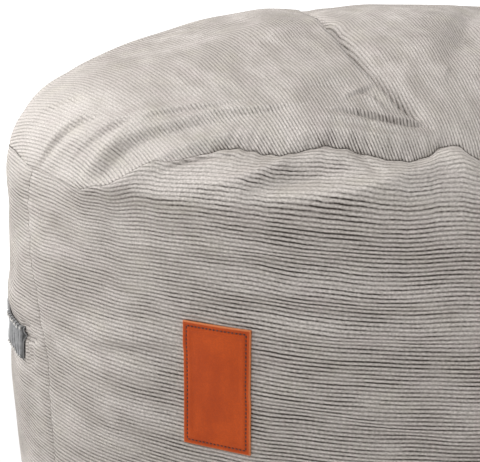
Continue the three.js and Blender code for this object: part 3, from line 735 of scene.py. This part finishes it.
def capsule(sides=6, rings=4, power=0.6):
    """A unit capsule along X, from -0.5 to 0.5, of radius 1 across: points and faces."""
    points, faces = [(-0.5, 0, 0)], []
    for i in range(1, rings):
        t = math.pi * i / rings
        radius = math.sin(t) ** power
        for j in range(sides):
            a = 2 * math.pi * j / sides
            points.append((-0.5 * math.cos(t), radius * math.cos(a), radius * math.sin(a)))
    points.append((0.5, 0, 0))
    end = 1 + (rings - 2) * sides
    for j in range(sides):
        nxt = (j + 1) % sides
        faces.append((0, 1 + nxt, 1 + j))
        faces.append((len(points) - 1, end + j, end + nxt))
        for a in range(1, end, sides):
            faces.append((a + j, a + nxt, a + sides + nxt, a + sides + j))
    return np.array(points, float), faces


def stitches(name, starts, ends, outward, radius, material):
    """Joined thread stitches from start to end points, lying on the cloth."""
    shape, shape_faces = capsule()
    axis = ends - starts
    side = unit(np.cross(outward, axis))
    up = np.cross(unit(axis), side)
    points = ((starts + ends) / 2)[:, None] + shape[None, :, :1] * axis[:, None]
    points += radius * shape[None, :, 1:2] * side[:, None]
    points += THREAD_FLAT * radius * shape[None, :, 2:] * up[:, None]
    faces = [tuple(i + k * len(shape) for i in face) for k in range(len(points)) for face in shape_faces]
    return make_piece(name, points.reshape(-1, 3), faces, material)


def along_line(points, pitch, share):
    """Starts and ends of stitches a pitch apart along a fine line of points."""
    at = np.concatenate([[0], np.cumsum(np.linalg.norm(np.diff(points, axis=0), axis=1))])
    begin = np.arange(0.0, at[-1] - pitch * share, pitch)
    return [np.stack([np.interp(place, at, part) for part in points.T], -1)
            for place in (begin, begin + pitch * share)]


# ---- materials ----


class Signal:
    """A node's output, so that a material's sums are written as plain arithmetic."""

    def __init__(self, nodes, socket):
        self.nodes, self.socket = nodes, socket

    def maths(self, operation, *others, **settings):
        inputs = dict(enumerate((self, *others)))
        return self.nodes.add("ShaderNodeMath", inputs, operation=operation, **settings)

    def __add__(self, other):
        return self.maths("ADD", other)

    def __mul__(self, other):
        return self.maths("MULTIPLY", other)

    def __rsub__(self, other):
        return self.nodes.add("ShaderNodeMath", {0: other, 1: self}, operation="SUBTRACT")

    __radd__ = __add__
    __rmul__ = __mul__

    def arches(self, pitch):
        """Round arches side by side, a pitch wide."""
        return (self * (math.pi / pitch)).maths("SINE").maths("ABSOLUTE")

    def ramp(self, low, high):
        """0 below low, 1 above high, smooth between."""
        inputs = {"Value": self, "From Min": low, "From Max": high}
        return self.nodes.add("ShaderNodeMapRange", inputs, interpolation_type="SMOOTHSTEP")


class Nodes:
    """A new material, and short ways to add nodes to it."""

    def __init__(self, name):
        self.material = bpy.data.materials.new(name)
        self.material.use_nodes = True
        self.tree = self.material.node_tree

    def plug(self, value, socket):
        """Link a signal to a socket, or set the socket to a number, a place or a colour."""
        if isinstance(value, Signal):
            self.tree.links.new(value.socket, socket)
        else:
            socket.default_value = (*value, 1.0) if socket.type == "RGBA" else value

    def add(self, kind, inputs, output=0, **settings):
        made = self.tree.nodes.new(kind)
        for key, value in settings.items():
            setattr(made, key, value)
        for key, value in inputs.items():
            self.plug(value, made.inputs[key])
        return Signal(self, made.outputs[output])

    def attribute(self, name, output="Vector"):
        return self.add("ShaderNodeAttribute", {}, output, attribute_name=name)

    def parts(self, vector):
        first = self.add("ShaderNodeSeparateXYZ", {0: vector})
        return [Signal(self, socket) for socket in first.socket.node.outputs]

    def noise(self, place, scale, detail=2.0, roughness=0.5, offset=(0, 0, 0)):
        """Noise of about 0 to 1 over a stretched place; scale is per metre along each axis."""
        mapped = self.add("ShaderNodeMapping", {"Vector": place, "Scale": scale, "Location": offset})
        inputs = {"Vector": mapped, "Scale": 1.0, "Detail": detail, "Roughness": roughness}
        return self.add("ShaderNodeTexNoise", inputs)

    def mix(self, factor, first, second):
        return self.add("ShaderNodeMix", {0: factor, 6: first, 7: second}, 2, data_type="RGBA")

    def tint(self, base, share, amount, colour):
        """The base with an amount of another colour in it, wherever the share is 1."""
        return self.mix(share, base, self.mix(amount, base, colour))

    def bump(self, height, distance, strength):
        return self.add("ShaderNodeBump", {"Height": height, "Distance": distance, "Strength": strength})

    def finish(self, **values):
        """Give the surface its values, named as its sockets are but with _ for a space."""
        shader = self.tree.nodes["Principled BSDF"]
        for key, value in values.items():
            self.plug(value, shader.inputs[key.replace("_", " ")])
        return self.material


WALE_PITCH = 2.57 * MM
WALE_WANDER = 0.9 * MM
WALE_RELIEF = 0.6 * MM
RIB_COLOUR = (0.67, 0.620, 0.584)
# painted highlight on the wale tops and where the cloth turns up
RIB_HIGHLIGHT = (0.80, 0.75, 0.71)
RIB_SHADE = (0.38, 0.343, 0.312)
# painted shade in the valleys between the wales
VALLEY_SHADE_COLOUR = (0.045, 0.036, 0.030)
NAP_STRAW = (0.60, 0.57, 0.45)
NAP_ROSE = (0.60, 0.50, 0.51)
TUFT_SHADE = (0.31, 0.277, 0.25)
FIBRE_SHADE = (0.30, 0.27, 0.24)


def corduroy():
    """Round brushed wales with painted shade in their valleys and painted highlights on their tops, crushed
    nap in patches and short fuzz.
    """
    nodes = Nodes("corduroy")
    place = nodes.attribute("cloth")
    painted_highlight = nodes.attribute("painted_highlight", "Fac")
    _, across, valley_shade_and_relief = nodes.parts(place)
    wander = nodes.noise(place, (45, 110, 0), 3.0, 0.6)
    arch = (across + wander * WALE_WANDER).arches(WALE_PITCH)
    tufts = nodes.noise(place, (520, 900, 0), 2.0, 0.65)
    fibre = nodes.noise(place, (2100, 1500, 0), 1.0)
    crushed = nodes.noise(place, (32, 78, 0), 3.0, 0.6)
    streak = nodes.noise(place, (36, 230, 0), 3.0, 0.6, offset=(3, 1, 0))
    broad = nodes.noise(place, (9, 44, 0), offset=(5, 9, 0))
    cloud = nodes.noise(place, (8, 22, 0), 3.0, 0.55, offset=(2, 6, 0))
    hue = nodes.noise(place, (26, 50, 0), offset=(8, 2, 0))
    # the nap lies this way or that in patches, which makes them light or dark
    lie = 0.55 * crushed.ramp(0.3, 0.7) + 0.45 * broad.ramp(0.3, 0.7)
    dull = cloud.ramp(0.6, 0.4)
    nap = nodes.mix(lie, RIB_SHADE, RIB_COLOUR)
    nap = nodes.mix(0.6 * dull, nap, RIB_SHADE)
    # painted highlight where the cloth turns up to the shoulder
    nap = nodes.mix(0.55 * painted_highlight, nap, RIB_HIGHLIGHT)
    nap = nodes.tint(nap, hue.ramp(0.5, 0.78), 0.24, NAP_STRAW)
    nap = nodes.tint(nap, hue.ramp(0.5, 0.24), 0.2, NAP_ROSE)
    nap = nodes.tint(nap, tufts.ramp(0.7, 0.3), 0.66, TUFT_SHADE)
    # painted highlight along the top of each wale, strongest where the painted valley shade is
    crest = arch.ramp(0.75, 1.0) * (0.7 * valley_shade_and_relief) * tufts.ramp(0.25, 0.75)
    nap = nodes.mix(crest, nap, RIB_HIGHLIGHT)
    nap = nodes.tint(nap, fibre.ramp(0.7, 0.3), 0.12, FIBRE_SHADE)
    # painted shade in the valleys between the wales, darkest in streaks, where the cloth is dull and where
    # the nap lies dark
    depth = 0.24 + 0.98 * streak.ramp(0.32, 0.68)
    depth = depth * (0.72 + 0.6 * dull) * (1.0 - 0.2 * painted_highlight) * (1.2 - 0.4 * lie)
    depth = depth * (1.3 - 0.75 * tufts.ramp(0.3, 0.7))
    depth = ((1.0 - arch.ramp(0.12, 0.80)) * depth).maths("MULTIPLY", valley_shade_and_relief, use_clamp=True)
    rib = arch.maths("POWER", 0.7)
    pile = 0.3 * tufts + 0.1 * fibre
    height = rib * (0.45 + 0.75 * valley_shade_and_relief) + pile * rib
    return nodes.finish(
        Base_Color=nodes.mix(depth, nap, VALLEY_SHADE_COLOUR), Normal=nodes.bump(height, WALE_RELIEF, 1.0),
        Roughness=0.92, Specular_IOR_Level=0.15,
        Sheen_Weight=0.15, Sheen_Roughness=0.45, Sheen_Tint=(1.0, 0.96, 0.93))


def thread(name, colour, dark):
    """Twisted sewing thread."""
    nodes = Nodes(name)
    fibre = nodes.noise(nodes.add("ShaderNodeTexCoord", {}, "Object"), (900, 900, 900))
    return nodes.finish(
        Base_Color=nodes.mix(fibre.ramp(0.3, 0.7), dark, colour), Roughness=0.75,
        Sheen_Weight=0.1, Normal=nodes.bump(fibre, 0.15 * MM, 0.6))


LEATHER_LIGHT = (0.52, 0.075, 0.006)
LEATHER_DARK = (0.42, 0.055, 0.004)
LEATHER_SPECK = (0.22, 0.035, 0.012)
# painted highlight along the patch's rounded rim
LEATHER_RIM_HIGHLIGHT = (0.78, 0.30, 0.12)
LEATHER_GRAINS = 1300.0  # per metre
LEATHER_EDGE = (1.1 * MM, 0.1 * MM)  # how near the rim the painted highlight begins, and is full


def leather():
    """Burnt orange leather with a fine grain and a painted highlight along its rounded rim."""
    nodes = Nodes("patch_leather")
    place = nodes.attribute("patch")
    _, _, near_rim = nodes.parts(place)
    inputs = {"Vector": place, "Scale": LEATHER_GRAINS}
    grain = nodes.add("ShaderNodeTexVoronoi", inputs, "Distance", feature="F1")
    cloud = nodes.noise(place, (60, 45, 60), 4.0, 0.6)
    speckle = nodes.noise(place, (900, 900, 900))
    colour = nodes.mix(cloud.ramp(0.3, 0.7), LEATHER_DARK, LEATHER_LIGHT)
    colour = nodes.tint(colour, speckle.ramp(0.7, 0.35), 0.25, LEATHER_SPECK)
    # painted highlight along the rounded rim
    colour = nodes.tint(colour, near_rim.ramp(*LEATHER_EDGE), 0.6, LEATHER_RIM_HIGHLIGHT)
    return nodes.finish(
        Base_Color=colour, Roughness=0.6, Specular_IOR_Level=0.18,
        Normal=nodes.bump(0.7 * grain + 0.4 * speckle, 0.12 * MM, 0.7))


WEBBING_RIB = 1.3 * MM  # along the strap
WEBBING_PICK = 0.7 * MM  # across it
WEBBING_LIGHT = (0.31, 0.31, 0.315)
WEBBING_DARK = (0.09, 0.09, 0.09)
WEBBING_WORN = (0.5, 0.5, 0.51)
# painted shade in the pleats
WEBBING_PLEAT_SHADE = (0.02, 0.02, 0.019)


def webbing():
    """Grey ribbed webbing, with painted shade in the pleats of its gathered ends."""
    nodes = Nodes("handle_webbing")
    place = nodes.attribute("strap")
    along, across, _ = nodes.parts(place)
    weave = along.arches(WEBBING_RIB).maths("POWER", 0.5) * (0.75 + 0.25 * across.arches(WEBBING_PICK))
    wear = nodes.noise(place, (250, 250, 250), 3.0)
    body = nodes.mix(weave, WEBBING_DARK, WEBBING_LIGHT)
    body = nodes.tint(body, wear.ramp(0.35, 0.7), 0.4, WEBBING_WORN)
    # painted shade in the pleats of the gathered ends
    from_end = HANDLE["width"] / 2 * MM - along.maths("ABSOLUTE")
    pleat = (along * (2 * math.pi / (PLEAT_PITCH * MM))).maths("COSINE")
    fold = from_end.ramp(GATHERED[0] * MM, GATHERED[1] * MM) * pleat.ramp(0.5, -0.7)
    return nodes.finish(
        Base_Color=nodes.mix(0.9 * fold, body, WEBBING_PLEAT_SHADE), Roughness=0.6,
        Sheen_Weight=0.15, Normal=nodes.bump(weave, 0.35 * MM, 0.8))


# ---- patch and handle ----

PATCH_STITCH_INSET = 2.9
PATCH_STITCH_PITCH = 2.6
PATCH_STITCH_GAP = 0.14  # share of the pitch that is under the leather at each end of a stitch
PLEAT_HEIGHT = 1.3
PLEAT_SINK = 0.6  # the pleats lie this much lower than the flat strap
HANDLE_STITCHES = 8  # on each edge of each end, one on each pleat
HANDLE_STITCH_INSET = (2.0, 2.4)  # from the strap's end and from its edge
HANDLE_STITCH_REACH = (1.5, 1.8)  # from there, inwards and towards the edge
HANDLE_STITCH_STRAY = 0.4


def on_side(piece, across, up, stand_off):
    """Points beside the middle of a sewn-on piece: across it, up it and off the bag."""
    azimuth = piece["azimuth"] + np.degrees(across / FULL_RADIUS)
    distance = distance_at_height((piece["bottom"] + piece["top"]) / 2 + up)
    return cloth_point(azimuth, distance, stand_off)


def half_sizes(piece):
    return piece["width"] / 2, (piece["top"] - piece["bottom"]) / 2


def rounded_slab(piece, relief, columns, rows, rounding):
    """A closed slab on the side: a top with rounded edges, walls and an underside."""
    half_w, half_h = half_sizes(piece)
    x = np.linspace(-half_w, half_w, columns)[None] + np.zeros((rows, 1))
    y = np.linspace(-half_h, half_h, rows)[:, None] + np.zeros((1, columns))
    near = np.minimum(half_w - np.abs(x), half_h - np.abs(y))
    round_off = 1 - np.sqrt(1 - (1 - np.clip(near / rounding, 0, 1)) ** 2)
    top = piece["clearance"] + piece["thickness"] - rounding * round_off + relief(x, near)
    upper = on_side(piece, x, y, top)
    lower = on_side(piece, x, y, piece["clearance"])
    count = rows * columns
    faces = [tuple(face[::-1]) for face in grid_faces(rows, columns)]
    faces += grid_faces(rows, columns, first=count)
    ring = [*range(columns), *range(2 * columns - 1, count, columns)]
    ring += [*range(count - 2, count - columns - 1, -1), *range(count - 2 * columns, 0, -columns)]
    for here, there in zip(ring, ring[1:] + ring[:1]):
        faces.append((here, here + count, there + count, there))
    flat = np.stack([x, y, near], -1).reshape(-1, 3)
    return np.concatenate([upper.reshape(-1, 3), lower.reshape(-1, 3)]), faces, np.tile(flat, (2, 1))


def sewn_on(name, piece, starts, ends, lift, radius, material):
    """Stitches on a sewn-on piece, between places across it and up it."""
    lift += piece["clearance"] + piece["thickness"]
    starts, ends = (on_side(piece, *np.concatenate(rows).T, lift) for rows in (starts, ends))
    return stitches(name, starts, ends, starts * LEVEL, radius, material)


def patch_relief(x, near):
    """The row of stitches pulls a shallow channel into the leather, which swells beside it."""
    inward = near - PATCH_STITCH_INSET
    return groove(inward, depth=0.45, half_width=0.8) - groove(inward - 2.2, depth=0.18, half_width=1.4)


def patch(material):
    points, faces, flat = rounded_slab(PATCH, patch_relief, columns=140, rows=220, rounding=0.8)
    return make_piece("leather_patch", points, faces, material, {"patch": flat})


def patch_stitches(material):
    half_w, half_h = (half - PATCH_STITCH_INSET for half in half_sizes(PATCH))
    corners = np.array([[-half_w, half_h], [half_w, half_h], [half_w, -half_h], [-half_w, -half_h]])
    starts, ends = [], []
    for a, b in zip(corners, np.roll(corners, -1, axis=0)):
        count = round(np.linalg.norm(b - a) / PATCH_STITCH_PITCH)
        number = np.arange(count)[:, None]
        starts.append(a + (b - a) * (number + PATCH_STITCH_GAP) / count)
        ends.append(a + (b - a) * (number + 1 - PATCH_STITCH_GAP) / count)
    return sewn_on("patch_thread", PATCH, starts, ends, lift=-0.3, radius=0.5, material=material)


def handle_relief(x, near):
    """Pleats where the webbing is gathered into its sewn ends, and its selvedges."""
    gathered = smooth(HANDLE["width"] / 2 - np.abs(x), *GATHERED)
    pleats = gathered * (PLEAT_HEIGHT * np.cos(2 * math.pi * x / PLEAT_PITCH) - PLEAT_SINK)
    return pleats - groove(near - 1.0, depth=0.3, half_width=0.7)


def handle(material):
    points, faces, flat = rounded_slab(HANDLE, handle_relief, columns=490, rows=44, rounding=0.7)
    return make_piece("webbing_handle", points, faces, material, {"strap": flat})


def handle_stitches(material):
    """Pale stitches along both edges of the gathered ends."""
    half_w, half_h = half_sizes(HANDLE)
    number = np.arange(HANDLE_STITCHES)
    starts, ends = [], []
    for end in (-1, 1):
        for edge in (-1, 1):
            across = end * (half_w - HANDLE_STITCH_INSET[0] - PLEAT_PITCH * number)
            up = edge * (half_h - HANDLE_STITCH_INSET[1]) + HANDLE_STITCH_STRAY * np.cos(2.3 * number)
            starts.append(np.stack([across, up], -1))
            ends.append(starts[-1] + np.array([-end, edge]) * HANDLE_STITCH_REACH)
    return sewn_on("handle_thread", HANDLE, starts, ends, lift=0.9, radius=0.9, material=material)


# ---- sewing of the cover ----

TOP_PULLED_OPEN = (-22.5, 300.0)  # azimuths: not round the tight left shoulder
TOP_HEART = (0, 0, 330.0)  # the top seam's stitches face away from here
FOOT_HEART = (0, 0, 120.0)
# The left upright seam meets the top seam at the first azimuth and the foot seam at the second,
# and its stitches keep this clear of them.
UPRIGHT_ENDS = (-54.0, -49.0)
UPRIGHT_CLEAR = (4, 3)
UPRIGHT_STEPS = 1500


def round_seam_stitches(name, seam, span, heart, lift, share, material):
    """Stitches in a seam that runs round the bag."""
    azimuth = np.linspace(*span, 6000)
    line = cloth_point(azimuth, seam(azimuth), lift)
    starts, ends = along_line(line, pitch=4.3, share=share)
    return stitches(name, starts, ends, (starts + ends) / 2 - heart, 0.42, material)


def upright_seam_stitches(material):
    starts, ends = [], []
    for turn in (0.0, SIDE_SEAM_TURN):
        first = seam_line(UPRIGHT_ENDS[0] + turn)[0] + UPRIGHT_CLEAR[0]
        last = foot_seam(UPRIGHT_ENDS[1] + turn) - UPRIGHT_CLEAR[1]
        distance = np.linspace(first, last, UPRIGHT_STEPS)
        azimuth = eased(SIDE_SEAM, 1, outline_at(distance)[1]) + turn
        rows = along_line(cloth_point(azimuth, distance, 0.1), pitch=4.2, share=0.55)
        starts.append(rows[0])
        ends.append(rows[1])
    starts, ends = np.concatenate(starts), np.concatenate(ends)
    return stitches("upright_seam_thread", starts, ends, starts * LEVEL, 0.36, material)


# ---- the room ----

FLOOR_HALF = 30000.0  # in millimetres
WHITE = (1.0, 1.0, 1.0)
FLOOR_GREY = (0.80, 0.80, 0.80)
FLOOR_BRIGHTENS = (0.7, 1.5)  # metres from the bag's middle
SKY_STRENGTH = 0.48
# In metres and watts: place, what it looks at, size, power.
LIGHTS = {
    "light_above": ((-0.4, 0.0, 2.1), (0, 0, 0.4), 2.2, 22.5),
    "light_left": ((-2.0, 0.25, 1.5), (0, 0, 0.3), 1.4, 34.5),
}


def studio():
    """A pale floor that brightens to white away from the bag, an even sky and large soft lights."""
    nodes = Nodes("studio_floor")
    place = nodes.add("ShaderNodeTexCoord", {}, "Object")
    away = nodes.add("ShaderNodeVectorMath", {0: place}, "Value", operation="LENGTH")
    finish = nodes.finish(Base_Color=FLOOR_GREY, Roughness=0.9, Emission_Color=WHITE,
                          Emission_Strength=away.ramp(*FLOOR_BRIGHTENS))
    corners = FLOOR_HALF * np.array([[-1, -1, 0], [1, -1, 0], [1, 1, 0], [-1, 1, 0]])
    floor = make_piece("studio_floor", corners, [(0, 1, 2, 3)], finish)
    world = bpy.data.worlds.new("studio_sky")
    world.use_nodes = True
    sky = world.node_tree.nodes["Background"]
    sky.inputs["Color"].default_value = (*WHITE, 1)
    sky.inputs["Strength"].default_value = SKY_STRENGTH
    bpy.context.scene.world = world
    for name, (place, aim, size, power) in LIGHTS.items():
        lamp = bpy.data.lights.new(name, "AREA")
        lamp.shape = "DISK"
        lamp.size = size
        lamp.energy = power
        way = np.array(aim) - np.array(place)
        tilt = math.acos(-way[2] / np.linalg.norm(way))
        add_object(name, lamp, place, (tilt, 0, math.atan2(way[1], way[0]) - math.pi / 2))


def photo_camera():
    """The camera fitted to the photo. Its tilt is up from straight down, its turn to the left."""
    data = bpy.data.cameras.new("camera")
    data.sensor_width = 36.0
    data.lens = 97.5
    place = (0.0, -1.0692, 0.563)
    tilt, turn = 77.23, 7.59
    rotation = (math.radians(tilt), 0.0, math.radians(turn))
    bpy.context.scene.camera = add_object("camera", data, place, rotation)


photo_camera()
studio()
bpy.context.scene.view_settings.view_transform = "Standard"

cloth_finish = corduroy()
# the seam thread is drawn near black: painted shade of the stitch holes along the seams
seam_thread = thread("seam_thread", (0.16, 0.14, 0.12), (0.05, 0.042, 0.036))
cloth_thread = thread("cloth_thread", (0.34, 0.31, 0.28), (0.17, 0.15, 0.13))
pale_thread = thread("pale_thread", (0.78, 0.76, 0.73), (0.5, 0.48, 0.45))
patch_thread = thread("patch_thread", (0.13, 0.03, 0.018), (0.045, 0.012, 0.008))

panels = [
    crown_panel(cloth_finish),
    wall_panel("front_wall_panel", 0.0, SIDE_SEAM_TURN, 41, cloth_finish),
    wall_panel("back_wall_panel", SIDE_SEAM_TURN, 360.0 - SIDE_SEAM_TURN, 57, cloth_finish),
    base_panel(cloth_finish),
]
for piece in panels:
    paint_light_by_facing(piece)
    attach(piece, "root")
    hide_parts("filled_bag")

seam_threads = [
    round_seam_stitches("top_seam_thread", lambda azimuth: seam_line(azimuth)[0], TOP_PULLED_OPEN,
                        TOP_HEART, lift=0.15, share=0.62, material=seam_thread),
    upright_seam_stitches(cloth_thread),
    round_seam_stitches("foot_seam_thread", foot_seam, (0, 360.0),
                        FOOT_HEART, lift=0.2, share=0.6, material=seam_thread),
]
for piece in seam_threads:
    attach(piece, "root")

leather_patch = patch(leather())
sewing = patch_stitches(patch_thread)
webbing_handle = handle(webbing())
handle_sewing = handle_stitches(pale_thread)
for piece, threads, cad_node, slot in ((leather_patch, sewing, "label_patch", "patch_leather"),
                                       (webbing_handle, handle_sewing, "grab_handle", "handle_webbing")):
    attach(piece, "root")
    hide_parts(cad_node)
    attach(threads, "root")

bpy.context.view_layer.update()
